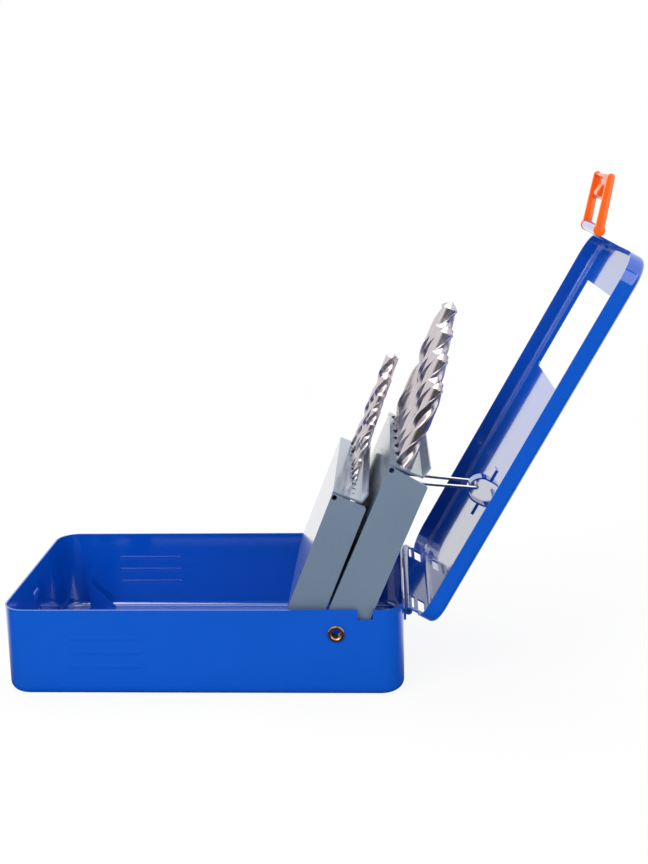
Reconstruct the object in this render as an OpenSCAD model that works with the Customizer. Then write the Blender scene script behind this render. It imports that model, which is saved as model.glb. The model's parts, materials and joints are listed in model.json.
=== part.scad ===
// Folded sheet steel case for twist drills: a tray, a hinged lid that lifts two
// drill racks through a wire link, and a plastic latch on the lid.
// Millimetres. X runs along the hinge, the front is at -Y, Z is up, and the
// origin is the middle of the tray underside. Drawn with the lid open.

/* [Tray] */

// Width of the tray along the hinge
tray_w = 102; // [90:1:130]
// Depth of the tray from front to back
tray_l = 168; // [160:1:200]
// Height of the tray to its rim
tray_h = 38.2; // [36:0.2:50]
// Thickness of the tray and lid sheet
sheet = 0.7; // [0.6:0.1:1.2]
// Outside radius of the upright corners
corner_r = 10; // [7:0.5:14]
// Outside radius where the walls meet the floor
floor_r = 4; // [2:0.5:5]

/* [Lid] */

// How far the lid stands open in the drawn pose, in degrees
lid_open = 118.8; // [90:0.2:119]
// Height of the closed case
case_h = 44.8; // [43:0.2:58]
// How far the lid walls reach below the tray rim
lid_lap = 0.6; // [0.2:0.1:2]
// Gap between the lid walls and the tray walls
lid_gap = 0.3; // [0.3:0.05:0.6]
// Edge radius around the lid panel
lid_edge_r = 2.5; // [1:0.5:4]
// Width of the window along the hinge
window_w = 76; // [40:1:84]
// Size of the window from front to back
window_l = 44; // [20:1:60]
// Distance from the lid front to the window
window_in = 19; // [12:1:40]
// Corner radius of the window
window_r = 2; // [1:0.5:5]

/* [Hinge] */

// Radius of the hinge pin
pin_r = 0.9; // [0.7:0.05:1.2]
// Height of the hinge axis above the underside
hinge_z = 33.8; // [30:0.1:46]
// Inner end of each tray knuckle
knuckle_in = 26; // [15:1:30]
// Outer end of each tray knuckle
knuckle_out = 38; // [32:1:39]
// Running clearance of pins in their bores
fit_gap = 0.05; // [0.02:0.01:0.1]

/* [Racks] */

// Pivot of both racks, behind the middle of the tray
pivot_y = 56; // [50:0.2:60]
// Height of the rack pivot
pivot_z = 27.8; // [26:0.2:30]
// Backward lean of the rear rack in the drawn pose
rear_lean = 22.8; // [15:0.2:25]
// Backward lean of the front rack in the drawn pose
front_lean = 21.6; // [12:0.2:22]
// Height of the rear rack above the pivot
rear_h = 74.6; // [65:0.2:80]
// Height of the front rack above the pivot
front_h = 55.4; // [50:0.2:60]
// Thickness of the rack sheet
rack_t = 0.8; // [0.6:0.1:1]
// Thickness of the rear rack, front to back
rear_deep = 17.4; // [15:0.2:18]
// Thickness of the front rack, front to back
front_deep = 15; // [12:0.2:16]
// Clearance of a drill in its hole, all round
drill_gap = 0.15; // [0.1:0.05:0.3]
// Height of the drill heels above the pivot
heel_s = 2; // [1.6:0.1:3]
// Inset of the outermost rear drills from the tray sides
rear_inset = 11.4; // [11.2:0.1:11.8]
// Inset of the outermost front drill places from the tray sides
front_inset = 10.85; // [10.8:0.05:11.2]

/* [Link] */

// Radius of the link wire
wire_r = 0.75; // [0.6:0.05:0.9]
// Distance from a wire leg to the middle of the drill beyond it
leg_clear = 6; // [5.8:0.1:6.2]
// How much closer each leg stands at the lid than at the rack
leg_taper = 1.7; // [1:0.1:2]
// Height of the link ends up the rear rack
link_s = 56; // [55.8:0.1:57]
// Width of the saddle on the lid
saddle_w = 7; // [5:0.5:8]
// Inside radius of the saddle loop
saddle_r = 5.3; // [5.2:0.1:5.5]

/* [Latch] */

// Width of the latch along the hinge
latch_w = 35; // [28:1:50]
// Length of the latch from its pivot to its end
latch_l = 22.8; // [20:0.2:24]
// Thickness of the latch arms
arm_t = 3; // [2.4:0.1:3.4]
// Radius of the latch pivots
stud_r = 1.4; // [1:0.05:1.6]
// Height of the latch pivot with the lid closed
latch_z = 27.8; // [27:0.2:30]
// Swing of the latch out of its hanging place in the drawn pose
latch_out = 72; // [40:1:90]

/* [Hidden] */

$fn = 96;
eps = 0.01;
HINGE_ROLL = pin_r + fit_gap + sheet;
hinge_y = tray_l/2 + lid_gap + HINGE_ROLL;
LATCH_ROLL = stud_r + fit_gap + sheet;
LATCH_EYE = max(arm_t/2 + 0.9, LATCH_ROLL);
latch_y = -(tray_l/2 + lid_gap + LATCH_EYE);
LID_W = tray_w + 2*(lid_gap + sheet);
LID_L = tray_l + 2*(lid_gap + sheet);
LID_R = corner_r + lid_gap + sheet;
LID_D = case_h - tray_h + lid_lap;
INNER_X = tray_w/2 - sheet;

// Racks: each has its own frame at the pivot, y to the back and z up the rack
REAR_X = INNER_X - 1.2;
EAR_GAP = 0.4;
FRONT_X = REAR_X - rack_t - EAR_GAP;
EYE_R = 2.6;
EYE_BORE = 2;
EYE_RIM = 3.5;
EYE_EDGE = 0.4;
EAR_R = 5.2;
REAR_T0 = -6.6;
REAR_T1 = REAR_T0 + rear_deep;
FRONT_T1 = -7.4;
FRONT_T0 = FRONT_T1 - front_deep;
REAR_ROW = -0.5;
FRONT_ROW = -13.8;
REAR_FLAP = 14.3;
FRONT_FLAP = 12.6;
REAR_LIP = 4.9;
FRONT_LIP = 3.9;
LIP_RISE = 65;
INNER_END = REAR_X - 3.4;
RELIEF_R = 1.1;
rear_pitch = (tray_w/2 - rear_inset)/3;
front_pitch = (tray_w/2 - front_inset)/5.5;
leg_rack = rear_pitch - leg_clear;
leg_lid = leg_rack - leg_taper;
LINK_T = REAR_T0 + rack_t + 0.45 + wire_r;
LUG_R = 1.5;
LUG_X = leg_rack + wire_r + 0.35;
STUB = 1.3;
BEND = 1.2;
LAP = 0.1;
SHANK_LAP = 0.5;

REAR_D = [for (i = [0:6]) 7 + i/2];
FRONT_D = [for (i = [0:11]) 1 + i/2];
REAR_0 = 3*rear_pitch;
FRONT_0 = 5.5*front_pitch - 1.2;

// Overall and flute lengths of short twist drills by diameter, 1 to 10 by halves
DRILL_L = [34, 40, 49, 57, 61, 70, 75, 80, 86, 93, 93, 101, 109, 109, 117, 117,
    125, 125, 133];
FLUTE_L = [12, 18, 24, 30, 33, 39, 43, 47, 52, 57, 57, 63, 69, 69, 75, 75, 81, 81, 87];

// Tray pressings
RIB_R = 3;
RIB_OUT = 0.25;
RIB_L = 33.5;
RIB_Y = -40.3;
RIB_Z = [13.4, 19.6, 25.8];
CATCH_Z = 17;
CATCH_R = 1.6;
CATCH_OUT = 1.2;
CATCH_W = 14;
DIMPLE_Z = 26.2;
DIMPLE_R = 2.6;
DIMPLE_W = 6;
NOTCH_Y = 68;
NOTCH_W = 6.3;
NOTCH_D = 4.3;
FIN_X = INNER_X - floor_r + sheet;
FIN_Y = -70.6;
FIN_H = 13.2;
FIN_FOOT = 5.5;

// Saddle on the lid, measured from the back of the lid and down from its top
SADDLE_U = 50.75;
SADDLE_V = 2.2;
SADDLE_FOOT = 6;
SLOT_UP = 2.2;
SIGHT_LOW = 3.8;
SIGHT_H = 3.3;
BAR_U = 0.784;
BAR_V = 2.718;
TAB_W = latch_w - 2*(2.2 + 0.3);
ARM_X = 2.2;
STUD_L = 3;
HOOK_AT = 12.9;
HOOK_W = 8;
HOOK_OUT = -latch_y - tray_l/2 - 0.3;

// Where the link ends sit in the drawn pose
LINK_BY = pivot_y + LINK_T*cos(rear_lean) + link_s*sin(rear_lean);
LINK_BZ = pivot_z - LINK_T*sin(rear_lean) + link_s*cos(rear_lean);
LINK_FROM_HINGE = [LID_L/2 - SADDLE_U - BAR_U - hinge_y,
                   case_h - SADDLE_V - BAR_V - hinge_z];
LINK_AY = hinge_y + LINK_FROM_HINGE[0]*cos(lid_open) + LINK_FROM_HINGE[1]*sin(lid_open);
LINK_AZ = hinge_z - LINK_FROM_HINGE[0]*sin(lid_open) + LINK_FROM_HINGE[1]*cos(lid_open);
LINK_L = norm([LINK_AY - LINK_BY, LINK_AZ - LINK_BZ]);
LINK_DIP = atan2(LINK_BZ - LINK_AZ, LINK_AY - LINK_BY);

BLUE = [0, 0.32, 0.74];
GREY = [0.46, 0.53, 0.6];
STEEL = [0.78, 0.77, 0.76];
BRASS = [0.83, 0.63, 0.4];
ORANGE = [1, 0.4, 0.03];

// ---- shared shapes ----

module rod_x(r, len) {
    rotate([0, 90, 0]) cylinder(r = r, h = len, center = true);
}

// A block with rounded uprights and a rounded lower edge, top open to z = h
module pan(lx, ly, h, rc, rb) {
    cx = lx/2 - rc;
    cy = ly/2 - rc;
    translate([-lx/2, -cy, rb]) cube([lx, 2*cy, h - rb]);
    translate([-cx, -ly/2, rb]) cube([2*cx, ly, h - rb]);
    translate([-lx/2 + rb, -cy, 0]) cube([lx - 2*rb, 2*cy, rb + eps]);
    translate([-cx, -ly/2 + rb, 0]) cube([2*cx, ly - 2*rb, rb + eps]);
    for (sx = [-1, 1]) {
        translate([sx*(lx/2 - rb), 0, rb])
            rotate([90, 0, 0]) cylinder(r = rb, h = 2*cy, center = true);
        for (sy = [-1, 1]) translate([sx*cx, sy*cy, 0]) {
            translate([0, 0, rb]) cylinder(r = rc, h = h - rb);
            cylinder(r = rc - rb, h = rb + eps);
            translate([0, 0, rb]) rotate_extrude()
                translate([rc - rb, 0]) circle(r = rb);
        }
    }
    for (sy = [-1, 1]) translate([0, sy*(ly/2 - rb), rb]) rod_x(rb, 2*cx);
}

// A straight bead with round ends along Y
module bead_y(r, len) {
    rotate([90, 0, 0]) cylinder(r = r, h = len - 2*r, center = true);
    for (s = [-1, 1]) translate([0, s*(len/2 - r), 0]) sphere(r = r);
}

module bead_x(r, len) {
    rotate([0, 0, 90]) bead_y(r, len);
}

module at_rack(lean) {
    translate([0, pivot_y, pivot_z]) rotate([-lean, 0, 0]) children();
}

// Turns the closed lid open about the hinge
module at_lid() {
    translate([0, hinge_y, hinge_z]) rotate([-lid_open, 0, 0])
        translate([0, -hinge_y, -hinge_z]) children();
}

// A plate across X drawn as a side outline of [y, z] points
module side_plate(x0, t, pts) {
    translate([x0, 0, 0]) rotate([90, 0, 90]) linear_extrude(height = t) polygon(pts);
}

// ---- tray ----

module base_tray() color(BLUE) {
    difference() {
        union() {
            pan(tray_w, tray_l, tray_h, corner_r, floor_r);
            for (sx = [-1, 1], z = RIB_Z)
                translate([sx*(tray_w/2 + RIB_OUT - RIB_R), RIB_Y, z])
                    bead_y(RIB_R, RIB_L + 2*sheet);
            translate([0, -tray_l/2 + CATCH_R - CATCH_OUT, CATCH_Z])
                bead_x(CATCH_R, CATCH_W);
            for (sx = [-1, 1]) knuckle(sx);
        }
        difference() {
            translate([0, 0, sheet])
                pan(tray_w - 2*sheet, tray_l - 2*sheet, tray_h, corner_r - sheet,
                    floor_r - sheet);
            translate([0, -tray_l/2 + sheet + 0.8 - DIMPLE_R, DIMPLE_Z])
                bead_x(DIMPLE_R, DIMPLE_W + 2*DIMPLE_R);
        }
        translate([0, -tray_l/2 + 0.8 - DIMPLE_R, DIMPLE_Z])
            bead_x(DIMPLE_R, DIMPLE_W + 2*DIMPLE_R - 2*sheet);
        for (sx = [-1, 1], z = RIB_Z)
            translate([sx*(tray_w/2 + RIB_OUT - RIB_R), RIB_Y, z])
                bead_y(RIB_R - sheet, RIB_L);
        translate([0, -tray_l/2 + CATCH_R - CATCH_OUT, CATCH_Z])
            bead_x(CATCH_R - sheet, CATCH_W - 2*sheet);
        translate([0, pivot_y, pivot_z]) rod_x(EYE_R, tray_w + 2);
        translate([-tray_w, NOTCH_Y - NOTCH_W/2, tray_h - NOTCH_D])
            cube([2*tray_w, NOTCH_W, NOTCH_D + 1]);
    }
}

// Curled tab on the back wall
module knuckle(sx) {
    len = knuckle_out - knuckle_in;
    mid = sx*(knuckle_in + knuckle_out)/2;
    difference() {
        union() {
            translate([mid, hinge_y, hinge_z]) rod_x(HINGE_ROLL, len);
            translate([mid - len/2, tray_l/2 - sheet/2, hinge_z - 5])
                cube([len, lid_gap + 1.5*sheet, 5]);
        }
        translate([mid, hinge_y, hinge_z]) rod_x(pin_r, len + 2);
    }
}

module rest_tab(sx) color(BLUE) {
    side_plate(sx > 0 ? FIN_X - sheet : -FIN_X, sheet,
        [[FIN_Y, sheet], [FIN_Y + FIN_H, sheet], [FIN_Y + FIN_H, 2*sheet],
         [FIN_Y + 0.8, sheet + FIN_H], [FIN_Y, sheet + FIN_H]]);
    translate([sx > 0 ? FIN_X - FIN_FOOT : -FIN_X, FIN_Y, sheet])
        cube([FIN_FOOT, FIN_H, sheet]);
}

module rest_tab_left() rest_tab(-1);
module rest_tab_right() rest_tab(1);

module hinge_pin() color(STEEL) {
    translate([0, hinge_y, hinge_z]) rod_x(pin_r, 2*knuckle_out + 6);
}

// Tubular rivet through the tray wall and both racks
module eyelet(sx) color(BRASS) {
    translate([0, pivot_y, pivot_z]) rotate([0, sx*90, 0]) difference() {
        union() {
            translate([0, 0, FRONT_X - rack_t - 0.9])
                cylinder(r = EYE_R, h = tray_w/2 + EYE_EDGE - FRONT_X + rack_t + 0.9);
            translate([0, 0, FRONT_X - rack_t - 0.9]) cylinder(r = EYE_RIM - 0.2, h = 0.6);
            translate([0, 0, REAR_X + 0.3]) cylinder(r = EYE_RIM - 0.2, h = 0.9);
            translate([0, 0, tray_w/2])
                cylinder(r = EYE_RIM - EYE_EDGE, h = 2*EYE_EDGE);
            translate([0, 0, tray_w/2 + EYE_EDGE]) rotate_extrude()
                translate([EYE_RIM - EYE_EDGE, 0]) circle(r = EYE_EDGE);
        }
        translate([0, 0, tray_w/4]) cylinder(r = EYE_BORE, h = tray_w/2);
        translate([0, 0, tray_w/2 + EYE_EDGE])
            cylinder(r1 = EYE_BORE, r2 = EYE_BORE + EYE_EDGE, h = EYE_EDGE + eps);
    }
}

module eyelet_left() eyelet(-1);
module eyelet_right() eyelet(1);

// ---- lid ----

module lid_shell() color(BLUE) at_lid() difference() {
    union() {
        translate([0, 0, case_h]) mirror([0, 0, 1]) difference() {
            pan(LID_W, LID_L, LID_D, LID_R, lid_edge_r);
            translate([0, 0, sheet])
                pan(LID_W - 2*sheet, LID_L - 2*sheet, LID_D, LID_R - sheet,
                    lid_edge_r - sheet);
        }
        // back flange, rolled round the pin
        translate([-knuckle_out - 2.8, LID_L/2 - sheet, hinge_z])
            cube([2*knuckle_out + 5.6, sheet, case_h - LID_D - hinge_z + 1]);
        translate([0, hinge_y, hinge_z]) rod_x(HINGE_ROLL, 2*knuckle_out + 5.6);
        // front tab, rolled for the latch
        translate([-TAB_W/2, -LID_L/2, latch_z])
            cube([TAB_W, sheet, case_h - LID_D - latch_z + 1]);
        translate([0, latch_y, latch_z]) rod_x(LATCH_ROLL, TAB_W);
    }
    translate([0, hinge_y, hinge_z]) rod_x(pin_r + fit_gap, LID_W);
    // gaps round the tray knuckles, and sight holes above them
    for (sx = [-1, 1])
        translate([sx*(knuckle_in + knuckle_out)/2 - (knuckle_out - knuckle_in)/2 - 0.4,
                   tray_l/2 - sheet, hinge_z]) {
            translate([0, 0, -HINGE_ROLL - 1])
                cube([knuckle_out - knuckle_in + 0.8, 6, SLOT_UP + HINGE_ROLL + 1]);
            translate([0, 0, SIGHT_LOW]) cube([knuckle_out - knuckle_in + 0.8, 6, SIGHT_H]);
        }
    translate([0, latch_y, latch_z]) rod_x(stud_r + fit_gap, TAB_W + 2);
    translate([0, -LID_L/2 + window_in + window_l/2, case_h - 2]) window_cut();
}

module window_cut() {
    x = window_w/2 - window_r;
    y = window_l/2 - window_r;
    translate([-x - window_r, -y, 0]) cube([window_w, 2*y, 4]);
    translate([-x, -y - window_r, 0]) cube([2*x, window_l, 4]);
    for (sx = [-1, 1], sy = [-1, 1])
        translate([sx*x, sy*y, 0]) cylinder(r = window_r, h = 4);
}

// Looped strip the link runs through
module link_saddle() color(BLUE) at_lid()
    translate([0, LID_L/2 - SADDLE_U, case_h - SADDLE_V]) {
        difference() {
            rod_x(saddle_r + sheet, saddle_w);
            rod_x(saddle_r, saddle_w + 2);
            translate([-saddle_w, -2*saddle_r, 0]) cube([2*saddle_w, 4*saddle_r, 2*saddle_r]);
        }
        for (sy = [-1, 1]) {
            translate([-saddle_w/2, sy > 0 ? saddle_r : -saddle_r - sheet, -eps])
                cube([saddle_w, sheet, SADDLE_V - sheet + eps]);
            translate([-saddle_w/2, sy > 0 ? saddle_r : -saddle_r - SADDLE_FOOT,
                       SADDLE_V - 2*sheet])
                cube([saddle_w, SADDLE_FOOT, sheet]);
        }
    }

// ---- wire link ----

// Bent wire: a bar through the saddle, two legs, and ends turned out at the rack
module wire_link() color(STEEL) translate([0, LINK_BY, LINK_BZ]) rotate([-LINK_DIP, 0, 0]) {
    tilt = atan((leg_rack - leg_lid)/LINK_L);
    run = LINK_L - 2*BEND*(1 - sin(tilt));
    bar = leg_rack + BEND - 2*BEND*cos(tilt) - run*tan(tilt);
    for (sx = [0, 1]) mirror([sx, 0, 0]) {
        translate([leg_rack + BEND + STUB/2, 0, 0]) rod_x(wire_r, STUB + LAP);
        translate([leg_rack + BEND, BEND, 0]) rotate([0, 0, 180 + tilt]) bend(90 - tilt);
        translate([leg_rack + BEND*(1 - cos(tilt)), BEND*(1 - sin(tilt)), 0])
            rotate([-90, 0, tilt]) translate([0, 0, -LAP/2])
                cylinder(r = wire_r, h = run/cos(tilt) + LAP);
        translate([bar, LINK_L - BEND, 0]) rotate([0, 0, tilt]) bend(90 - tilt);
    }
    translate([0, LINK_L, 0]) rod_x(wire_r, 2*bar + LAP);
}

module bend(turn) {
    rotate_extrude(angle = turn) translate([BEND, 0]) circle(r = wire_r + eps);
}

// ---- racks ----

// Top flap of a rack with its back edge bent up, and the ends of that lip cut off
module flap(half, front, depth, top, long) {
    up = [cos(LIP_RISE), sin(LIP_RISE)];
    root = [front + depth, top - rack_t];
    end = root + long*up;
    back = end + rack_t*[-up[1], up[0]];
    difference() {
        side_plate(-half, 2*half,
            [[front, top - rack_t], root, end, back,
             [back[0] - (back[1] - top)*up[0]/up[1], top], [front, top]]);
        for (sx = [0, 1]) mirror([sx, 0, 0]) translate([0, root[0], root[1]])
            rotate([LIP_RISE - 90, 0, 0]) rotate([90, 0, 0])
                linear_extrude(height = 6, center = true)
                    polygon([[half, rack_t + 0.2], [half + 1, rack_t + 0.2],
                             [half + 1, long + 1], [half - long + rack_t - 0.8, long + 1]]);
    }
}

module rear_rack() color(GREY) at_rack(rear_lean) difference() {
    union() {
        for (sx = [-1, 1])
            side_plate(sx > 0 ? REAR_X - rack_t : -REAR_X, rack_t,
                [[REAR_T0, -1.5], [-3, -5.5], [4, -5.5], [REAR_T1, 0],
                 [REAR_T1, rear_h - 3.2], [REAR_T1 - 1, rear_h - 2.6],
                 [REAR_T0, rear_h - 0.5]]);
        translate([-REAR_X, REAR_T0, 7]) cube([2*REAR_X, rack_t, rear_h - 8.4]);
        translate([-INNER_END + 1, REAR_T0, rear_h - 3])
            cube([2*INNER_END - 2, rack_t, 3]);
        translate([-INNER_END, REAR_T0, heel_s - rack_t])
            cube([2*INNER_END, rack_t, 7]);
        translate([-INNER_END, REAR_T0, heel_s - rack_t])
            cube([2*INNER_END, rear_deep, rack_t]);
        translate([-REAR_X, REAR_T1 - 3.9, heel_s - rack_t])
            cube([2*REAR_X, 3.9, rack_t]);
        flap(INNER_END + 1.6, REAR_T0, REAR_FLAP, rear_h, REAR_LIP);
        for (sx = [-1, 1]) {
            translate([sx*(LUG_X + rack_t/2), LINK_T, link_s]) rod_x(LUG_R, rack_t);
            translate([sx*(LUG_X + rack_t/2) - rack_t/2, REAR_T0 + rack_t/2, link_s - LUG_R])
                cube([rack_t, LINK_T - REAR_T0 - rack_t/2, 2*LUG_R]);
        }
    }
    rod_x(EYE_R + fit_gap, tray_w);
    for (i = [0:6]) translate([REAR_0 - i*rear_pitch, REAR_ROW, rear_h - 3])
        cylinder(r = REAR_D[i]/2 + drill_gap, h = 5);
    for (sx = [-1, 1]) {
        translate([sx*(LUG_X + rack_t/2), LINK_T, link_s]) rod_x(wire_r + 2*fit_gap, 4);
        translate([sx*REAR_X, REAR_T0 + 1.3, rear_h - 1.9]) rod_x(RELIEF_R, 4);
    }
}

module front_rack() color(GREY) at_rack(front_lean) difference() {
    union() {
        for (sx = [-1, 1]) {
            side_plate(sx > 0 ? FRONT_X - rack_t : -FRONT_X, rack_t,
                [[FRONT_T0, heel_s - rack_t], [FRONT_T0 + 8, -EAR_R],
                 [0, -EAR_R], [0, EAR_R], [FRONT_T1, EAR_R],
                 [FRONT_T1, front_h - 2], [FRONT_T1 - 0.6, front_h - 1.2],
                 [FRONT_T0, front_h - 0.5]]);
            translate([sx*(FRONT_X - rack_t/2), 0, 0]) rod_x(EAR_R, rack_t);
        }
        translate([-FRONT_X, FRONT_T0, heel_s - rack_t])
            cube([2*FRONT_X, rack_t, front_h - heel_s - 0.6]);
        translate([-INNER_END + 1, FRONT_T0, front_h - 3])
            cube([2*INNER_END - 2, rack_t, 3]);
        translate([-FRONT_X, FRONT_T0, heel_s - rack_t])
            cube([2*FRONT_X, front_deep - 1, rack_t]);
        flap(INNER_END + 0.4, FRONT_T0, FRONT_FLAP, front_h, FRONT_LIP);
    }
    rod_x(EYE_R + fit_gap, tray_w);
    for (i = [0:11]) translate([FRONT_0 - i*front_pitch, FRONT_ROW, front_h - 3])
        cylinder(r = FRONT_D[i]/2 + drill_gap, h = 5);
    for (sx = [-1, 1])
        translate([sx*FRONT_X, FRONT_T0 + 1.3, front_h - 1.9]) rod_x(RELIEF_R, 4);
}

// ---- drills ----

// One twist drill standing on its heel: a plain shank, then a fluted body whose
// last two steps draw in to the point
module drill(d, long, flute) {
    lead = PI*d/tan(30);
    point = d/2/tan(59);
    steps = ceil(9*(flute - point)/lead);
    rows = [for (i = [0:steps]) [(flute - point + SHANK_LAP)*i/steps - SHANK_LAP, 1],
            [flute - point/2, 0.52], [flute, 0.05]];
    ring = flute_ring(d);
    n = len(ring);
    last = n*len(rows);
    cylinder(d = d, h = long - flute);
    translate([0, 0, long - flute]) polyhedron(
        points = [for (r = rows, p = ring)
                      [r[1]*p[0]*cos(p[1] + 360*r[0]/lead),
                       r[1]*p[0]*sin(p[1] + 360*r[0]/lead), r[0]],
                  [0, 0, rows[0][0]], [0, 0, flute]],
        faces = [for (j = [0:len(rows) - 2], k = [0:n - 1]) each
                     [[j*n + k, j*n + n + k, j*n + (k + 1)%n],
                      [j*n + (k + 1)%n, j*n + n + k, j*n + n + (k + 1)%n]],
                 for (k = [0:n - 1]) each
                     [[last, k, (k + 1)%n],
                      [last + 1, last - n + (k + 1)%n, last - n + k]]]);
}

// Two lands and a web, as radius and angle
function flute_ring(d) = [for (s = [0, 180], p = [[0.49, 0], [0.49, 32], [0.49, 64],
    [0.25, 84], [0.155, 122], [0.27, 156]]) [d*p[0], p[1] + s]];

module drill_at(i) {
    d = 1 + i/2;
    rear = i > 11;
    color(STEEL) at_rack(rear ? rear_lean : front_lean)
        translate([rear ? REAR_0 - (i - 12)*rear_pitch : FRONT_0 - i*front_pitch,
                   rear ? REAR_ROW : FRONT_ROW, heel_s])
            rotate([0, 0, 40 + 47*i]) drill(d, DRILL_L[i], FLUTE_L[i]);
}

module drill_01_0() drill_at(0);
module drill_01_5() drill_at(1);
module drill_02_0() drill_at(2);
module drill_02_5() drill_at(3);
module drill_03_0() drill_at(4);
module drill_03_5() drill_at(5);
module drill_04_0() drill_at(6);
module drill_04_5() drill_at(7);
module drill_05_0() drill_at(8);
module drill_05_5() drill_at(9);
module drill_06_0() drill_at(10);
module drill_06_5() drill_at(11);
module drill_07_0() drill_at(12);
module drill_07_5() drill_at(13);
module drill_08_0() drill_at(14);
module drill_08_5() drill_at(15);
module drill_09_0() drill_at(16);
module drill_09_5() drill_at(17);
module drill_10_0() drill_at(18);

// ---- latch ----

// Drawn hanging from its pivot, z down the front of the tray
module latch() color(ORANGE) at_lid() translate([0, latch_y, latch_z])
    rotate([-latch_out, 0, 0]) {
        for (sx = [-1, 1]) {
            translate([sx*(latch_w - ARM_X)/2, 0, 0]) rod_x(LATCH_EYE, ARM_X);
            translate([sx*(latch_w - ARM_X)/2, 0, -latch_l + arm_t/2]) rod_x(arm_t/2, ARM_X);
            translate([sx*(latch_w - ARM_X)/2 - ARM_X/2, -arm_t/2, -latch_l + arm_t/2])
                cube([ARM_X, arm_t, latch_l - arm_t/2]);
            translate([sx*(latch_w/2 - ARM_X - STUD_L/2 + 0.5), 0, 0]) rod_x(stud_r, STUD_L + 1);
        }
        translate([-latch_w/2 + 1, -arm_t/2, -latch_l + 0.7])
            cube([latch_w - 2, 1.6, latch_l - HOOK_AT + 0.4]);
        translate([-latch_w/2 + 1, -arm_t/2, -latch_l + 0.7]) cube([latch_w - 2, arm_t, 1.6]);
        // hook that turns in under the catch
        side_plate(-HOOK_W/2, HOOK_W,
            [[-0.4, -HOOK_AT], [HOOK_OUT - 0.5, -HOOK_AT], [HOOK_OUT, -HOOK_AT - 0.5],
             [HOOK_OUT, -HOOK_AT - 1.6], [0.6, -HOOK_AT - 5], [-0.4, -HOOK_AT - 5]]);
    }

// ---- nodes ----

base_tray();
rest_tab_left();
rest_tab_right();
hinge_pin();
eyelet_left();
eyelet_right();
lid_shell();
link_saddle();
wire_link();
rear_rack();
front_rack();
latch();
drill_01_0();
drill_01_5();
drill_02_0();
drill_02_5();
drill_03_0();
drill_03_5();
drill_04_0();
drill_04_5();
drill_05_0();
drill_05_5();
drill_06_0();
drill_06_5();
drill_07_0();
drill_07_5();
drill_08_0();
drill_08_5();
drill_09_0();
drill_09_5();
drill_10_0();
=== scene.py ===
"""Dresses a folding steel drill bit case and sets it on a plain white stage."""

import json
import math

import bmesh
import bpy
from mathutils import Matrix, Vector


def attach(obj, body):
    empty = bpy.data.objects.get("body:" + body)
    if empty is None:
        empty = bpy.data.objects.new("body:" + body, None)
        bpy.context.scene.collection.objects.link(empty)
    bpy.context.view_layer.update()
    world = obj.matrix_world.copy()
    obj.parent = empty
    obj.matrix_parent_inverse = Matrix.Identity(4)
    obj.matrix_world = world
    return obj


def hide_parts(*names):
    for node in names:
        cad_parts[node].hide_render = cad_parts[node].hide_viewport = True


bl_info = {
    "name": "Drill bit case",
    "version": (1, 0, 0),
    "blender": (4, 5, 0),
    "location": "3D View > Sidebar > Drill Case",
    "description": "Finishes a folding drill bit case and sets it on a white stage",
    "category": "Add Mesh",
}

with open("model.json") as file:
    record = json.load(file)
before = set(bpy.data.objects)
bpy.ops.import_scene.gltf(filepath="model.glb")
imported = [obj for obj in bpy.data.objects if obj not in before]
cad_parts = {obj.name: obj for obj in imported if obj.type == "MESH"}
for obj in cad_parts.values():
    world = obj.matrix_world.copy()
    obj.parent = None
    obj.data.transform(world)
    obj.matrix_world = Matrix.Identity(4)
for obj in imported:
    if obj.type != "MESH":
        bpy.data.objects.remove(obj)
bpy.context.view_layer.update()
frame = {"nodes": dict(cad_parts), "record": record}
JOINTS = {j["name"]: j for j in frame["record"]["behaviour"]["joints"]}
MM = 0.001

REAR_BODY, FRONT_BODY = "rear_drill_rack", "front_drill_rack"
FRONT_DRILLS, REAR_DRILLS = 12, 7
REAR_ROW, FRONT_ROW = -0.5 * MM, -13.8 * MM  # each row of drills, in depth from the rack pivot
FRONT_SHIFT = -1.2 * MM  # the front row's middle stands off the case's middle by this

# Overall and flute lengths of short twist drills in millimetres, 1 to 10 mm by halves
DRILL_LENGTHS = (34, 40, 49, 57, 61, 70, 75, 80, 86, 93, 93, 101, 109, 109, 117, 117, 125, 125, 133)
FLUTE_LENGTHS = (12, 18, 24, 30, 33, 39, 43, 47, 52, 57, 57, 63, 69, 69, 75, 75, 81, 81, 87)

# The flutes' helix and half the point's angle, and one turn of the flutes in diameters
HELIX, HALF_POINT = math.radians(30), math.radians(59)
LEAD = math.pi / math.tan(HELIX)

# Shares of a drill's own diameter
HEEL_CHAMFER = 0.04
SHANK_STOP = 0.6  # the plain shank ends this far below the flutes
RUNOUT_START, RUNOUT_LENGTH = 0.5, 1.1  # the flutes deepen over this, from below their own end
LIP_RELIEF = 0.07

# Distance from the axis, going half a turn back from a lip: margin, land, heel, flute, cutting face
DRILL_SECTION = (
    (0.0, 0.998, "VECTOR"),
    (0.045, 1.0, "VECTOR"),
    (0.06, 0.962, "VECTOR"),
    (0.46, 0.955, "VECTOR"),
    (0.53, 0.86, "AUTO"),
    (0.62, 0.62, "AUTO"),
    (0.73, 0.45, "AUTO"),
    (0.83, 0.43, "AUTO"),
    (0.92, 0.62, "AUTO"),
    (1.0, 0.998, "VECTOR"),
)

# The drill meshes: points round, rows that every drill has, and more rows for each turn of its flutes
POINTS_ROUND, PLAIN_ROWS, ROWS_PER_TURN = 97, 60, 34
ROW_CLOSING = 1.7  # above 1, the rows close up towards the point
MERGE_DISTANCE, WELD_DISTANCE = 0.004 * MM, 0.003 * MM

# Drill points are turned to these two angles by turns, chosen against the photo
LIP_TURNS = (math.radians(70), math.radians(20))

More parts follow.
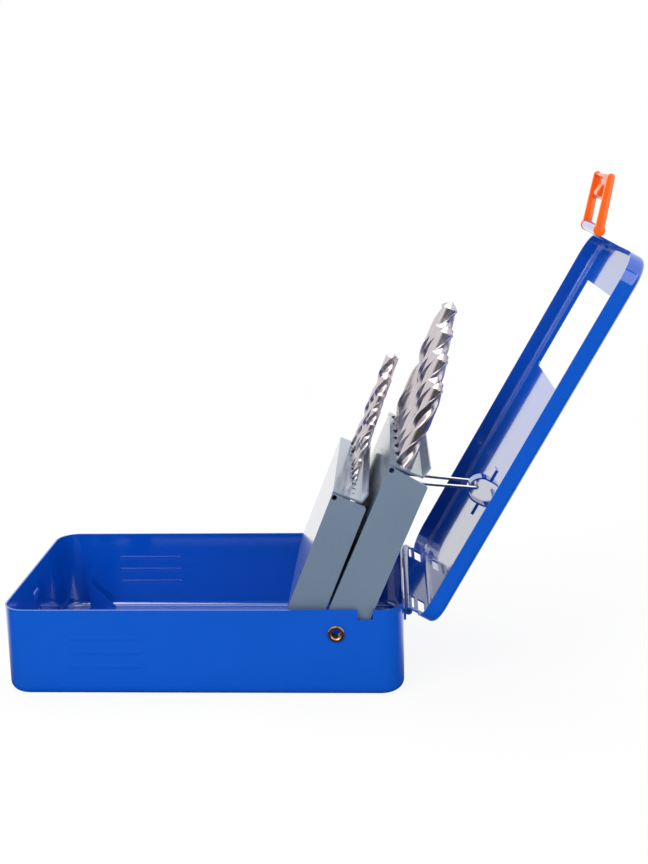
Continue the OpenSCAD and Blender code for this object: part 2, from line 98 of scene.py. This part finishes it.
# The latch, drawn hanging straight down from its pivot
LATCH_HALF = 17.5 * MM  # half of its width
LATCH_ARM = 2.2 * MM  # width of an arm
LATCH_THICK = 1.5 * MM  # half of an arm's thickness
LATCH_REACH = 22.8 * MM  # from the pivot to the arms' ends
LATCH_EYE = 2.4 * MM  # radius of an arm round the pivot
LATCH_HOOK = 12.9 * MM  # from the pivot to the hook's upper edge
HOOK_HALF = 4.0 * MM  # half of the hook's width
STUD_RADIUS, STUD_INWARDS, STUD_ROOT = 1.1 * MM, 2.4 * MM, 0.5 * MM
LATCH_ROUNDING = 0.28 * MM
LATCH_HANG = math.radians(72)  # from the photo's pose to hanging down the shut case

# The camera, fitted to the photo: metres, radians, and a focal length in pixels for that picture height
CAMERA_PLACE = (0.52877, 0.07777, 0.22776)
CAMERA_TURN, CAMERA_TILT, CAMERA_ROLL = -0.05247, 0.23477, -0.02016
FOCAL_PIXELS, PICTURE_H = 1243.15, 864

# The stage, in metres
FLOOR_HALF, CARD_HALF, CARD_PLACE = 60.0, 1.4, (1.5, 0.1, 0.4)
WHITE_FROM, WHITE_TO = 0.35, 0.9  # the floor fades to pure white over these distances from the middle
DARK_FROM, DARK_TO = -0.02, 0.05  # and turns dark in reflections over these x, on the camera's side
LAMP_AIM = (0.0, 0.04, 0.08)
WORLD_LIGHT = 0.55  # strength of the world's light on the case, where 1 is the white it shows
LAMPS = (
    # name, place, size, power
    ("key", (0.75, -0.55, 0.95), 0.7, 7.5),
    ("fill", (0.95, 0.75, 0.35), 0.8, 3.0),
    ("top", (-0.35, 0.05, 1.1), 0.9, 5.5),
)


# ---- sizes and colours that a user may change ----


class CaseSizes(bpy.types.PropertyGroup):
    """Sizes that the pieces are made to, the same as in the solid model."""

    lid_open: bpy.props.FloatProperty(
        name="Lid opening",
        description="Angle of the lid at rest",
        default=math.radians(118.8),
        subtype="ANGLE",
    )
    rear_lean: bpy.props.FloatProperty(
        name="Rear rack lean",
        description="Backward lean of the rear rack",
        default=math.radians(22.8),
        subtype="ANGLE",
    )
    front_lean: bpy.props.FloatProperty(
        name="Front rack lean",
        description="Backward lean of the front rack",
        default=math.radians(21.6),
        subtype="ANGLE",
    )
    heel: bpy.props.FloatProperty(
        name="Heel height",
        description="Drill heels above the rack pivot",
        default=2.0 * MM,
        unit="LENGTH",
    )
    rear_pitch: bpy.props.FloatProperty(
        name="Rear drill spacing",
        description="Between drills of the rear rack",
        default=13.2 * MM,
        unit="LENGTH",
    )
    front_pitch: bpy.props.FloatProperty(
        name="Front drill spacing",
        description="Between drills of the front rack",
        default=7.3 * MM,
        unit="LENGTH",
    )


class CaseColours(bpy.types.PropertyGroup):
    """Colours of the finishes."""

    blue: bpy.props.FloatVectorProperty(
        name="Case enamel",
        description="Blue enamel of tray and lid",
        default=(0.0, 0.090, 0.56),
        subtype="COLOR",
    )
    grey: bpy.props.FloatVectorProperty(
        name="Rack enamel",
        description="Blue-grey enamel of the racks",
        default=(0.135, 0.195, 0.275),
        subtype="COLOR",
    )
    orange: bpy.props.FloatVectorProperty(
        name="Latch plastic",
        description="Orange plastic of the latch",
        default=(1.0, 0.135, 0.001),
        subtype="COLOR",
    )
    drill_steel: bpy.props.FloatVectorProperty(
        name="Drill steel",
        description="Ground steel of the drills",
        default=(0.55, 0.50, 0.515),
        subtype="COLOR",
    )
    wire_steel: bpy.props.FloatVectorProperty(
        name="Wire steel",
        description="Bright wire and pins",
        default=(0.62, 0.62, 0.63),
        subtype="COLOR",
    )
    brass: bpy.props.FloatVectorProperty(
        name="Rivet brass",
        description="Coppery brass of the rivets",
        default=(0.80, 0.46, 0.22),
        subtype="COLOR",
    )


# ---- node trees written as expressions ----


class Value:
    """One number socket of a node tree; arithmetic on it adds Math nodes."""

    def __init__(self, tree, socket):
        self.tree, self.socket = tree, socket

    def math(self, operation, *others, clamp=False):
        node = self.tree.node("ShaderNodeMath", {"operation": operation, "use_clamp": clamp}, [self, *others])
        return Value(self.tree, node.outputs[0])

    def __add__(self, other):
        return self.math("ADD", other)

    def __sub__(self, other):
        return self.math("SUBTRACT", other)

    def __rsub__(self, other):
        return self.tree.number(other).math("SUBTRACT", self)

    def __mul__(self, other):
        return self.math("MULTIPLY", other)

    def __truediv__(self, other):
        return self.math("DIVIDE", other)

    __radd__ = __add__
    __rmul__ = __mul__

    def clamped(self):
        return self.math("ADD", 0.0, clamp=True)

    def least(self, other):
        return self.math("MINIMUM", other)

    def most(self, other):
        return self.math("MAXIMUM", other)

    def sin(self):
        return self.math("SINE")

    def cos(self):
        return self.math("COSINE")

    def ramp(self, low, high):
        """0 below low, 1 above high."""
        smooth_step = {"interpolation_type": "SMOOTHSTEP"}
        node = self.tree.node("ShaderNodeMapRange", smooth_step, [self, low, high, 0.0, 1.0])
        return Value(self.tree, node.outputs[0])


class Tree:
    """Builds nodes in a shader or geometry tree."""

    def __init__(self, data):
        self.data = data

    def node(self, kind, settings=None, values=None):
        """Adds a node: its settings first, then a value or a link for each of its sockets."""
        node = self.data.nodes.new(kind)
        for name, setting in (settings or {}).items():
            if name == "curve":
                points = node.mapping.curves[0].points
                while len(points) < len(setting):
                    points.new(0.5, 0.5)
                for point, (x, y, handle) in zip(points, setting):
                    point.location, point.handle_type = (x, y), handle
                node.mapping.update()
            else:
                setattr(node, name, setting)
        pairs = values.items() if isinstance(values, dict) else enumerate(values or [])
        for key, value in pairs:
            socket = node.inputs[key]
            if isinstance(value, Value):
                value = value.socket
            if isinstance(value, bpy.types.NodeSocket):
                self.data.links.new(value, socket)
            else:
                socket.default_value = value
        return node

    def number(self, value):
        node = self.node("ShaderNodeMath", {"operation": "ADD"}, [float(value), 0.0])
        return Value(self, node.outputs[0])

    def value(self, node, output=0):
        return Value(self, node.outputs[output])


class Finish(Tree):
    """A material with one Principled shader, and the patterns its finishes share."""

    def __init__(self, name, **constants):
        self.material = bpy.data.materials.new(name)
        self.material.use_nodes = True
        super().__init__(self.material.node_tree)
        self.shader = self.data.nodes["Principled BSDF"]
        for key, value in constants.items():
            self.shader.inputs[key.replace("_", " ")].default_value = value
        self.place = self.node("ShaderNodeTexCoord").outputs["Object"]

    def noise(self, scale, detail=3.0, rough=0.5, vector=None):
        node = self.node(
            "ShaderNodeTexNoise",
            {},
            {"Vector": vector or self.place, "Scale": scale, "Detail": detail, "Roughness": rough},
        )
        return self.value(node)

    def stretched(self, x, y, z):
        return self.node("ShaderNodeMapping", {}, {"Vector": self.place, "Scale": (x, y, z)}).outputs[0]

    def blend(self, factor, first, second):
        node = self.node("ShaderNodeMix", {"data_type": "RGBA"}, {"Factor": factor})
        for socket, colour in ((node.inputs[6], first), (node.inputs[7], second)):
            if isinstance(colour, bpy.types.NodeSocket):
                self.data.links.new(colour, socket)
            else:
                socket.default_value = (*colour, 1.0)
        return node.outputs[2]

    def feed(self, name, value):
        socket = value.socket if isinstance(value, Value) else value
        self.data.links.new(socket, self.shader.inputs[name])

    def bump(self, height, strength, distance):
        node = self.node("ShaderNodeBump", {}, {"Strength": strength, "Distance": distance, "Height": height})
        self.feed("Normal", node.outputs[0])


FINISHES = {}


def toned(colour, times, plus=0.0):
    """A colour made lighter or darker."""
    return tuple(min(1.0, c * times + plus) for c in colour)


def enamel(colours):
    """Glossy blue stoving enamel, with orange peel and a few soft handling marks."""
    f = Finish("blue_enamel", IOR=1.5, Coat_Weight=1.0, Coat_IOR=1.7, Coat_Roughness=0.05)
    cloud = f.noise(scale=22.0, detail=2.0)
    blue = tuple(colours.blue)
    deep = toned(blue, 0.92)
    lifted = (blue[0] + 0.001, blue[1] * 1.06, min(1.0, blue[2] * 1.05))
    scuffed = (0.05, 0.17, 0.62)
    marks = f.noise(scale=1.0, detail=5.0, rough=0.6, vector=f.stretched(60, 260, 60)).ramp(0.68, 0.76)
    f.feed("Base Color", f.blend(marks * 0.03, f.blend(cloud, deep, lifted), scuffed))
    f.feed("Roughness", 0.10 + f.noise(scale=140.0, detail=4.0) * 0.06 + marks * 0.08)
    orange_peel = f.noise(scale=420.0, detail=2.0) + f.noise(scale=60.0, detail=1.0) * 2.5
    f.bump(orange_peel, strength=0.10, distance=0.3 * MM)
    return f.material


def rack_enamel(colours):
    """Satin blue-grey enamel with a fine powdery tooth."""
    f = Finish("grey_enamel", IOR=1.5, Coat_Weight=1.0, Coat_IOR=1.9, Coat_Roughness=0.12)
    grey = tuple(colours.grey)
    pale = toned(grey, 1.16, 0.01)
    powder = (0.42, 0.47, 0.53)
    speck = f.noise(scale=2600.0, detail=2.0).ramp(0.62, 0.75)
    f.feed("Base Color", f.blend(speck * 0.3, f.blend(f.noise(scale=35.0), grey, pale), powder))
    f.feed("Roughness", 0.30 + f.noise(scale=300.0) * 0.12)
    f.bump(f.noise(scale=1900.0, detail=2.0), strength=0.15, distance=0.1 * MM)
    return f.material


def drill_metal(colours):
    """Ground steel with fine grinding lines: bright lands and margins, and flutes painted darker with depth
    as painted shade.
    """
    f = Finish("drill_steel", Metallic=1.0)
    shade_depth = f.value(f.node("ShaderNodeAttribute", {"attribute_name": "radius"}), "Fac")
    steel = tuple(colours.drill_steel)
    lines = f.noise(scale=1.0, rough=0.6, vector=f.stretched(160, 160, 2600))
    # painted shade: below the lands, down in the flutes, the steel's colour is cut to a quarter to a third
    flute = f.blend(lines, toned(steel, 0.22), toned(steel, 0.34))
    land = f.blend(lines, steel, toned(steel, 1.25))
    f.feed("Base Color", f.blend(shade_depth.ramp(0.48, 0.95), flute, land))
    f.feed("Roughness", 0.26 + lines * 0.14)
    f.bump(lines, strength=0.08, distance=0.05 * MM)
    return f.material


def wire_metal(colours):
    """Drawn bright wire with faint draw marks."""
    f = Finish("bright_wire", Metallic=1.0)
    wire = tuple(colours.wire_steel)
    marks = f.noise(scale=1.0, rough=0.6, vector=f.stretched(2400, 160, 2400))
    f.feed("Base Color", f.blend(marks, toned(wire, 0.72), toned(wire, 1.25)))
    f.feed("Roughness", 0.14 + marks * 0.16)
    f.bump(marks, strength=0.15, distance=0.08 * MM)
    return f.material


def rivet_brass(colours):
    """Coppery brass with slight tarnish in patches."""
    f = Finish("rivet_brass", Metallic=1.0)
    brass = tuple(colours.brass)
    tarnish = f.noise(scale=900.0, detail=4.0)
    f.feed("Base Color", f.blend(tarnish.ramp(0.35, 0.8), brass, toned(brass, 0.55)))
    f.feed("Roughness", 0.2 + tarnish * 0.25)
    f.bump(tarnish, strength=0.2, distance=0.08 * MM)
    return f.material


def latch_plastic(colours):
    """Glossy moulded orange plastic with a soft moulding ripple."""
    f = Finish("orange_plastic", IOR=1.5, Coat_Weight=0.3, Coat_Roughness=0.05)
    orange = tuple(colours.orange)
    f.feed("Base Color", f.blend(f.noise(scale=90.0, detail=2.0), toned(orange, 0.93), orange))
    f.feed("Roughness", 0.15 + f.noise(scale=260.0) * 0.12)
    f.bump(f.noise(scale=180.0, detail=2.0), strength=0.08, distance=0.3 * MM)
    return f.material


# ---- shared shape helpers ----


def turned(angle, y, z):
    """Rotation about an X line through y, z."""
    at = Matrix.Translation((0, y, z))
    return at @ Matrix.Rotation(angle, 4, "X") @ at.inverted()


def rack_frame(joint, lean):
    """From a rack's own upright frame at its pivot to the row frame."""
    return Matrix.Translation(Vector(JOINTS[joint]["pos_m"])) @ Matrix.Rotation(-lean, 4, "X")


def new_object(name, data):
    obj = bpy.data.objects.new(name, data)
    bpy.context.scene.collection.objects.link(obj)
    return obj


def plain_mesh(obj, name):
    """The evaluated object as one plain mesh object; the source is removed."""
    bpy.context.view_layer.update()
    evaluated = obj.evaluated_get(bpy.context.evaluated_depsgraph_get())
    mesh = bpy.data.meshes.new_from_object(evaluated)
    bpy.data.objects.remove(obj)
    mesh.name = name
    return new_object(name, mesh)


def smooth(obj, angle=30):
    obj.data.shade_smooth()
    obj.data.set_sharp_from_angle(angle=math.radians(angle))
    return obj


def bar_mesh(bm, outline, x0, x1):
    """Adds a bar along X with an outline of (y, z) points."""
    low = [bm.verts.new((x0, y, z)) for y, z in outline]
    high = [bm.verts.new((x1, y, z)) for y, z in outline]
    bm.faces.new(low)
    bm.faces.new(high)
    for i in range(len(outline)):
        k = (i + 1) % len(outline)
        bm.faces.new((low[i], low[k], high[k], high[i]))


def bevelled(name, bars, width, segments=3):
    """One object of separate rounded bars, each given as outline, x0, x1."""
    parts = []
    for outline, x0, x1 in bars:
        bm = bmesh.new()
        bar_mesh(bm, outline, x0, x1)
        bmesh.ops.recalc_face_normals(bm, faces=bm.faces)
        bmesh.ops.bevel(
            bm,
            geom=[e for e in bm.edges if e.calc_face_angle(0) > math.radians(25)],
            offset=width,
            segments=segments,
            profile=0.5,
            affect="EDGES",
        )
        mesh = bpy.data.meshes.new(name)
        bm.to_mesh(mesh)
        bm.free()
        parts.append(mesh)
    bm = bmesh.new()
    for mesh in parts:
        bm.from_mesh(mesh)
        bpy.data.meshes.remove(mesh)
    mesh = bpy.data.meshes.new(name)
    bm.to_mesh(mesh)
    bm.free()
    return new_object(name, mesh)


def arc(cz, r, start, sweep, steps):
    """Points (y, z) along an arc about the line y = 0, z = cz, with angles in degrees."""
    angles = [math.radians(start + i * sweep / steps) for i in range(steps + 1)]
    return [(r * math.cos(a), cz + r * math.sin(a)) for a in angles]


def round_outline(r, count=28):
    angles = [2 * math.pi * i / count for i in range(count)]
    return [(r * math.cos(a), r * math.sin(a)) for a in angles]


def ride_as(piece, body, material, slot, *nodes):
    """Gives a finished piece its body, its finish and the solids it stands for."""
    piece.data.materials.clear()
    piece.data.materials.append(material)
    if nodes:
        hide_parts(*nodes)
    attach(piece, body)


def finish_node(name, material):
    for s in frame["nodes"][name].material_slots:
        s.material = material


# ---- the twist drill tree ----


def drill_tree():
    """Geometry Nodes tree: a grid wrapped round a two-flute twist drill, turning with its helix."""
    group = bpy.data.node_groups.new("twist_drill", "GeometryNodeTree")
    sockets = {}
    for name in ("Diameter", "Length", "Flute length"):
        item = group.interface.new_socket(name, in_out="INPUT", socket_type="NodeSocketFloat")
        sockets[name] = item.identifier
    for name in ("Around", "Along"):
        item = group.interface.new_socket(name, in_out="INPUT", socket_type="NodeSocketInt")
        sockets[name] = item.identifier
    item = group.interface.new_socket("Finish", in_out="INPUT", socket_type="NodeSocketMaterial")
    sockets["Finish"] = item.identifier
    group.interface.new_socket("Geometry", in_out="OUTPUT", socket_type="NodeSocketGeometry")
    t = Tree(group)
    given = t.node("NodeGroupInput")
    d, long, flute, around, along = (t.value(given, k) for k in range(5))
    square = {"Size X": 1.0, "Size Y": 1.0, "Vertices X": around, "Vertices Y": along}
    grid = t.node("GeometryNodeMeshGrid", {}, square)
    on_grid = t.node("ShaderNodeSeparateXYZ", {}, [t.node("GeometryNodeInputPosition").outputs[0]])
    u = t.value(on_grid, "X") + 0.5
    row = (t.value(on_grid, "Y") + 0.5) * (along - 1.0)
    radius = d * 0.5
    chamfer = d * HEEL_CHAMFER
    plain = long - flute - d * SHANK_STOP
    # rows: heel centre, heel edge, chamfer, end of the plain shank, then the fluted body
    second, third = (row - 1.0).clamped(), (row - 2.0).clamped()
    body = 1.0 - (1.0 - ((row - 3.0) / (along - 4.0)).clamped()).math("POWER", ROW_CLOSING)
    z = chamfer * second + (plain - chamfer) * third + (long - plain) * body
    shank = (radius - chamfer) * row.clamped() + chamfer * second
    # how far back from its lip a point stands, 0 to 1 over each half turn
    lag = 1.0 - (u * 2.0).math("FRACT")
    section = t.node("ShaderNodeFloatCurve", {"curve": DRILL_SECTION}, {"Factor": 1.0, "Value": lag})
    cut = t.value(section)
    runout = ((z - (long - flute - d * RUNOUT_START)) / (d * RUNOUT_LENGTH)).ramp(0.0, 1.0)
    fluted = shank * (1.0 - runout * (1.0 - cut))
    # the point's cone, ground lower behind each lip but not at the very tip
    below_tip = ((long - z) / d * 4.0).clamped()
    point = (long - z) * math.tan(HALF_POINT) - d * LIP_RELIEF * lag * below_tip
    r = fluted.least(point.most(0.0))
    turn = (z - (long - flute)).most(0.0) / (d * LEAD)
    angle = (u + turn) * (2.0 * math.pi)
    moved = t.node("ShaderNodeCombineXYZ", {}, [r * angle.cos(), r * angle.sin(), z])
    wrapped = {"Geometry": grid.outputs[0], "Position": moved.outputs[0]}
    shaped = t.node("GeometryNodeSetPosition", {}, wrapped)
    kept = t.node(
        "GeometryNodeStoreNamedAttribute",
        {"data_type": "FLOAT", "domain": "POINT"},
        {"Geometry": shaped.outputs[0], "Name": "radius", "Value": r / radius},
    )
    seam = {"Geometry": kept.outputs[0], "Distance": MERGE_DISTANCE}
    closed = t.node("GeometryNodeMergeByDistance", {}, seam)
    real = t.node("GeometryNodeRealizeInstances", {}, [closed.outputs[0]])
    painted = t.node(
        "GeometryNodeSetMaterial", {}, {"Geometry": real.outputs[0], "Material": given.outputs["Finish"]}
    )
    t.node("NodeGroupOutput", {}, [painted.outputs[0]])
    return group, sockets


def make_drill(group, sockets, name, d, long, flute, material):
    """One drill standing on its heel at the origin; its sizes are in millimetres."""
    host = new_object(name + "_host", bpy.data.meshes.new(name + "_host"))
    modifier = host.modifiers.new("shape", "NODES")
    modifier.node_group = group
    given = {
        "Diameter": d * MM,
        "Length": long * MM,
        "Flute length": flute * MM,
        "Around": POINTS_ROUND,
        "Along": int(PLAIN_ROWS + flute / (round(LEAD, 2) * d) * ROWS_PER_TURN),
        "Finish": material,
    }
    for key, value in given.items():
        modifier[sockets[key]] = value
    piece = plain_mesh(host, name)
    bm = bmesh.new()
    bm.from_mesh(piece.data)
    bmesh.ops.remove_doubles(bm, verts=bm.verts, dist=WELD_DISTANCE)
    bmesh.ops.recalc_face_normals(bm, faces=bm.faces)
    bm.to_mesh(piece.data)
    bm.free()
    return smooth(piece, 38)


# ---- the stage ----


def studio_world(scene):
    """White to the camera and in reflections, and a softer light on the case."""
    world = bpy.data.worlds.new("studio")
    scene.world = world
    world.use_nodes = True
    w = Tree(world.node_tree)
    path = w.node("ShaderNodeLightPath")
    seen = (
        w.value(path, "Is Camera Ray") + w.value(path, "Is Glossy Ray") + w.value(path, "Is Transmission Ray")
    ).clamped()
    background = world.node_tree.nodes["Background"]
    background.inputs["Color"].default_value = (1, 1, 1, 1)
    strength = WORLD_LIGHT + seen * (1.0 - WORLD_LIGHT)
    world.node_tree.links.new(strength.socket, background.inputs["Strength"])


def white_floor():
    """Paper that keeps the shadow, white in the distance, and dark in reflections on the camera's side."""
    material = bpy.data.materials.new("studio_white")
    material.use_nodes = True
    nodes = material.node_tree.nodes
    nodes.remove(nodes["Principled BSDF"])
    f = Tree(material.node_tree)
    path = f.node("ShaderNodeLightPath")
    on_floor = f.node("ShaderNodeSeparateXYZ", {}, [f.node("ShaderNodeTexCoord").outputs["Object"]])
    x, y = f.value(on_floor, "X"), f.value(on_floor, "Y")
    far = (x * x + y * y).math("SQRT").ramp(WHITE_FROM, WHITE_TO)
    front = x.ramp(DARK_FROM, DARK_TO)
    mirrored = f.value(path, "Is Glossy Ray")
    white = f.value(path, "Is Camera Ray") * (0.9 + far * 0.1) + mirrored * (1.0 - front)
    paper = f.node("ShaderNodeBsdfDiffuse", {}, {"Color": (0.9, 0.9, 0.9, 1)})
    glow = f.node("ShaderNodeEmission", {}, {"Color": (1, 1, 1, 1), "Strength": 1.0})
    lit = f.node("ShaderNodeMixShader", {}, [white.clamped(), paper.outputs[0], glow.outputs[0]])
    shade = f.node("ShaderNodeBsdfDiffuse", {}, {"Color": (0.02, 0.02, 0.025, 1)})
    mixed = f.node("ShaderNodeMixShader", {}, [mirrored * front, lit.outputs[0], shade.outputs[0]])
    material.node_tree.links.new(mixed.outputs[0], nodes["Material Output"].inputs["Surface"])
    return material


def dark_card():
    """Dull black card."""
    material = bpy.data.materials.new("studio_dark")
    material.use_nodes = True
    shader = material.node_tree.nodes["Principled BSDF"]
    shader.inputs["Base Color"].default_value = (0.03, 0.03, 0.035, 1)
    shader.inputs["Roughness"].default_value = 0.9
    return material


def stage_sheet(name, half, at, material):
    """A flat square sheet, given by half of its side and put at a place."""
    mesh = bpy.data.meshes.new(name)
    bm = bmesh.new()
    bmesh.ops.create_grid(bm, x_segments=1, y_segments=1, size=half)
    bm.to_mesh(mesh)
    bm.free()
    mesh.transform(at)
    mesh.materials.append(material)
    return new_object(name, mesh)


def photo_camera(scene):
    """A camera set to match the photo's view."""
    ahead = Vector(
        (
            -math.cos(CAMERA_TURN) * math.cos(CAMERA_TILT),
            math.sin(CAMERA_TURN) * math.cos(CAMERA_TILT),
            -math.sin(CAMERA_TILT),
        )
    )
    level = Vector((math.sin(CAMERA_TURN), math.cos(CAMERA_TURN), 0))
    upright = level.cross(ahead)
    right = math.cos(CAMERA_ROLL) * level + math.sin(CAMERA_ROLL) * upright
    up = -math.sin(CAMERA_ROLL) * level + math.cos(CAMERA_ROLL) * upright
    camera = new_object("camera", bpy.data.cameras.new("camera"))
    camera.data.lens = FOCAL_PIXELS * camera.data.sensor_width / PICTURE_H
    camera.data.clip_start = 0.01
    facing = Matrix((right, up, -ahead)).transposed().to_4x4()
    facing.translation = CAMERA_PLACE
    camera.matrix_world = facing
    scene.camera = camera


# ---- operators ----


class CASE_OT_finishes(bpy.types.Operator):
    """Make the enamels, metals and plastic"""

    bl_idname = "case.finishes"
    bl_label = "Finishes"

    def execute(self, context):
        colours = context.scene.case_colours
        for name, maker in (
            ("enamel", enamel),
            ("rack", rack_enamel),
            ("drill", drill_metal),
            ("wire", wire_metal),
            ("brass", rivet_brass),
            ("plastic", latch_plastic),
        ):
            FINISHES[name] = maker(colours)
        return {"FINISHED"}


class CASE_OT_sheet_metal(bpy.types.Operator):
    """Finish the tray, lid, racks and the small steel and brass pieces"""

    bl_idname = "case.sheet_metal"
    bl_label = "Tray, lid and racks"

    def execute(self, context):
        for finish, names in (
            ("enamel", ("base_tray", "rest_tab_left", "rest_tab_right", "lid_shell", "link_saddle")),
            ("rack", ("rear_rack", "front_rack")),
            ("wire", ("hinge_pin", "wire_link")),
            ("brass", ("eyelet_left", "eyelet_right")),
        ):
            for name in names:
                finish_node(name, FINISHES[finish])
        return {"FINISHED"}


class CASE_OT_drills(bpy.types.Operator):
    """Stand the nineteen twist drills in their racks"""

    bl_idname = "case.drills"
    bl_label = "Twist drills"

    def execute(self, context):
        s = context.scene.case_sizes
        group, sockets = drill_tree()
        for i, (long, flute) in enumerate(zip(DRILL_LENGTHS, FLUTE_LENGTHS)):
            d = 1 + i / 2
            node = "drill_%02d_%d" % (int(d), round(d % 1 * 10))
            piece = make_drill(group, sockets, node + "_twist", d, long, flute, FINISHES["drill"])
            if i < FRONT_DRILLS:
                body, base = FRONT_BODY, rack_frame("front_rack_pivot", s.front_lean)
                across = (FRONT_DRILLS - 1) / 2 * s.front_pitch + FRONT_SHIFT - i * s.front_pitch
                spot = (across, FRONT_ROW, s.heel)
            else:
                body, base = REAR_BODY, rack_frame("rear_rack_pivot", s.rear_lean)
                across = (REAR_DRILLS - 1) / 2 * s.rear_pitch - (i - FRONT_DRILLS) * s.rear_pitch
                spot = (across, REAR_ROW, s.heel)
            # the flutes' whole twist is taken back, so that the lips come to the angle asked for
            twist = 2 * math.pi * flute / (d * LEAD)
            spin = Matrix.Rotation(LIP_TURNS[i % 2] - twist, 4, "Z")
            piece.data.transform(base @ Matrix.Translation(spot) @ spin)
            ride_as(piece, body, FINISHES["drill"], "drill", node)
        return {"FINISHED"}


class CASE_OT_latch(bpy.types.Operator):
    """Mould the latch with rounded edges and its hook"""

    bl_idname = "case.latch"
    bl_label = "Latch"

    def execute(self, context):
        s = context.scene.case_sizes
        arm = arc(0, LATCH_EYE, -40, 260, 20) + arc(LATCH_THICK - LATCH_REACH, LATCH_THICK, 180, 180, 10)
        panel = [
            (-LATCH_THICK, -LATCH_REACH + 0.9 * MM),
            (0.9 * MM, -LATCH_REACH + 0.6 * MM),
            (1.2 * MM, -LATCH_REACH + 1.6 * MM),
            (0.1 * MM, -LATCH_REACH + 2.6 * MM),
            (0.1 * MM, -LATCH_HOOK + 1.1 * MM),
            (-LATCH_THICK, -LATCH_HOOK + 1.1 * MM),
        ]
        hook = [
            (-0.4 * MM, -LATCH_HOOK),
            (1.2 * MM, -LATCH_HOOK),
            (1.9 * MM, -LATCH_HOOK - 0.5 * MM),
            (1.9 * MM, -LATCH_HOOK - 1.6 * MM),
            (0.6 * MM, -LATCH_HOOK - 5 * MM),
            (-0.4 * MM, -LATCH_HOOK - 5 * MM),
        ]
        stud = round_outline(STUD_RADIUS)
        inner_face = LATCH_HALF - LATCH_ARM
        panel_half = LATCH_HALF - 0.8 * MM
        bars = (
            (arm, inner_face, LATCH_HALF),
            (arm, -LATCH_HALF, -inner_face),
            (panel, -panel_half, panel_half),
            (hook, -HOOK_HALF, HOOK_HALF),
            (stud, -inner_face - STUD_ROOT, -inner_face + STUD_INWARDS),
            (stud, inner_face - STUD_INWARDS, inner_face + STUD_ROOT),
        )
        piece = bevelled("latch_moulding", bars, LATCH_ROUNDING)
        hinge = JOINTS["lid_hinge"]["pos_m"]
        pivot = turned(s.lid_open, hinge[1], hinge[2]) @ Vector(JOINTS["latch_hinge"]["pos_m"])
        piece.data.transform(
            turned(-s.lid_open, hinge[1], hinge[2])
            @ Matrix.Translation(pivot)
            @ Matrix.Rotation(-LATCH_HANG, 4, "X")
        )
        smooth(piece, 40)
        ride_as(piece, "latch", FINISHES["plastic"], "latch", "latch")
        return {"FINISHED"}


class CASE_OT_stage(bpy.types.Operator):
    """Set the white floor, soft studio light and the camera"""

    bl_idname = "case.stage"
    bl_label = "Stage"

    def execute(self, context):
        scene = context.scene
        scene.view_settings.view_transform = "Standard"
        studio_world(scene)
        floor = stage_sheet("studio_floor", FLOOR_HALF, Matrix.Identity(4), white_floor())
        # a dark card on the camera's side, seen in reflections alone, keeps the near faces deep
        upright = Matrix.Translation(CARD_PLACE) @ Matrix.Rotation(math.radians(-90), 4, "Y")
        card = stage_sheet("studio_card", CARD_HALF, upright, dark_card())
        card.visible_camera = card.visible_diffuse = card.visible_shadow = False
        for name, place, size, power in LAMPS:
            light = bpy.data.lights.new(name, "AREA")
            light.shape, light.size, light.energy = "SQUARE", size, power
            lamp = new_object(name, light)
            lamp.location = place
            lamp.rotation_euler = (Vector(LAMP_AIM) - Vector(place)).to_track_quat("-Z", "Y").to_euler()
        photo_camera(scene)
        return {"FINISHED"}


class CASE_PT_panel(bpy.types.Panel):
    """Shows the case's sizes, colours and steps in the sidebar"""

    bl_idname = "CASE_PT_panel"
    bl_label = "Drill bit case"
    bl_space_type = "VIEW_3D"
    bl_region_type = "UI"
    bl_category = "Drill Case"

    def draw(self, context):
        for group in (context.scene.case_sizes, context.scene.case_colours):
            box = self.layout.box()
            for name in group.__annotations__:
                box.prop(group, name)
        for operator in OPERATORS:
            self.layout.operator(operator.bl_idname)


OPERATORS = (
    CASE_OT_finishes,
    CASE_OT_sheet_metal,
    CASE_OT_drills,
    CASE_OT_latch,
    CASE_OT_stage,
)
CLASSES = (CaseSizes, CaseColours, *OPERATORS, CASE_PT_panel)


def register():
    for c in CLASSES:
        bpy.utils.register_class(c)
    bpy.types.Scene.case_sizes = bpy.props.PointerProperty(type=CaseSizes)
    bpy.types.Scene.case_colours = bpy.props.PointerProperty(type=CaseColours)


def unregister():
    del bpy.types.Scene.case_colours
    del bpy.types.Scene.case_sizes
    for c in reversed(CLASSES):
        bpy.utils.unregister_class(c)


def main():
    register()
    for operator in OPERATORS:
        category, name = operator.bl_idname.split(".")
        if getattr(getattr(bpy.ops, category), name)() != {"FINISHED"}:
            raise RuntimeError(f"{operator.bl_label} did not finish")


if __name__ == "__main__":
    main()
